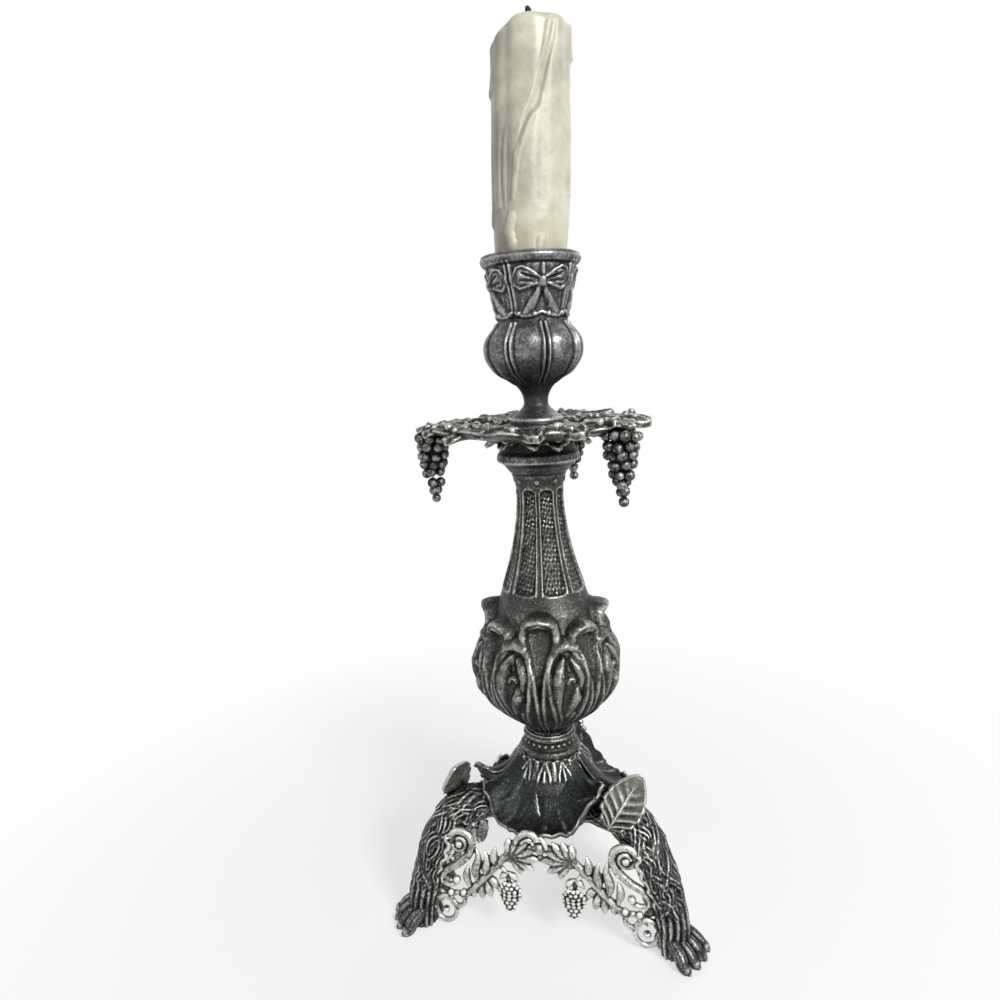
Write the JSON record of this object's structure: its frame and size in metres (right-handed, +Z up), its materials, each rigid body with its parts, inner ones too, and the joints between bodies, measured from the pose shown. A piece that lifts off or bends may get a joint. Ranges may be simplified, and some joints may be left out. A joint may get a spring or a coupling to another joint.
{
  "type": "candle holder",
  "caption": "Cast tripod candlestick with paw feet, openwork vine panels, leafed baluster stem, leaf drip pan with hanging grape bunches and a bow-tied tulip cup holding a used candle.",
  "frame": {"origin": "on the table, on the axis of the stem", "axes": "+Z up along the stem, -Y towards the front, where a vine panel lies between two legs"},
  "size_m": [0.0956, 0.0884, 0.262],
  "materials": {
    "wax": "ivory wax with set drips",
    "wick": "charred cotton",
    "pewter": "antiqued, bright on worn edges and dark in recesses",
    "base_pewter": "antiqued, darker than the stem",
    "steel": "plain zinc-plated"
  },
  "bodies": {
    "holder": {"candle_cup": "pewter", "drip_pan": "pewter", "grape_bunch_1": "pewter", "grape_bunch_2": "pewter", "grape_bunch_3": "pewter", "stem": "pewter", "collar": "pewter", "base_hub": "base_pewter", "leg_1": "base_pewter", "leg_2": "base_pewter", "leg_3": "base_pewter", "vine_apron_1": "base_pewter", "vine_apron_2": "base_pewter", "vine_apron_3": "base_pewter", "base_leaf_1": "base_pewter", "base_leaf_2": "base_pewter", "base_leaf_3": "base_pewter", "leg_leaf_1": "base_pewter", "leg_leaf_2": "base_pewter", "leg_leaf_3": "base_pewter", "tie_rod": "steel", "rod_washer": "steel", "rod_nut": "steel"},
    "candle": {"candle": "wax", "wick": "wick"}
  },
  "joints": [
    {"name": "candle_lift", "type": "slide", "parent": "holder", "child": "candle", "axis": [0, 0, 1], "range_m": [0, 0.03]}
  ]
}
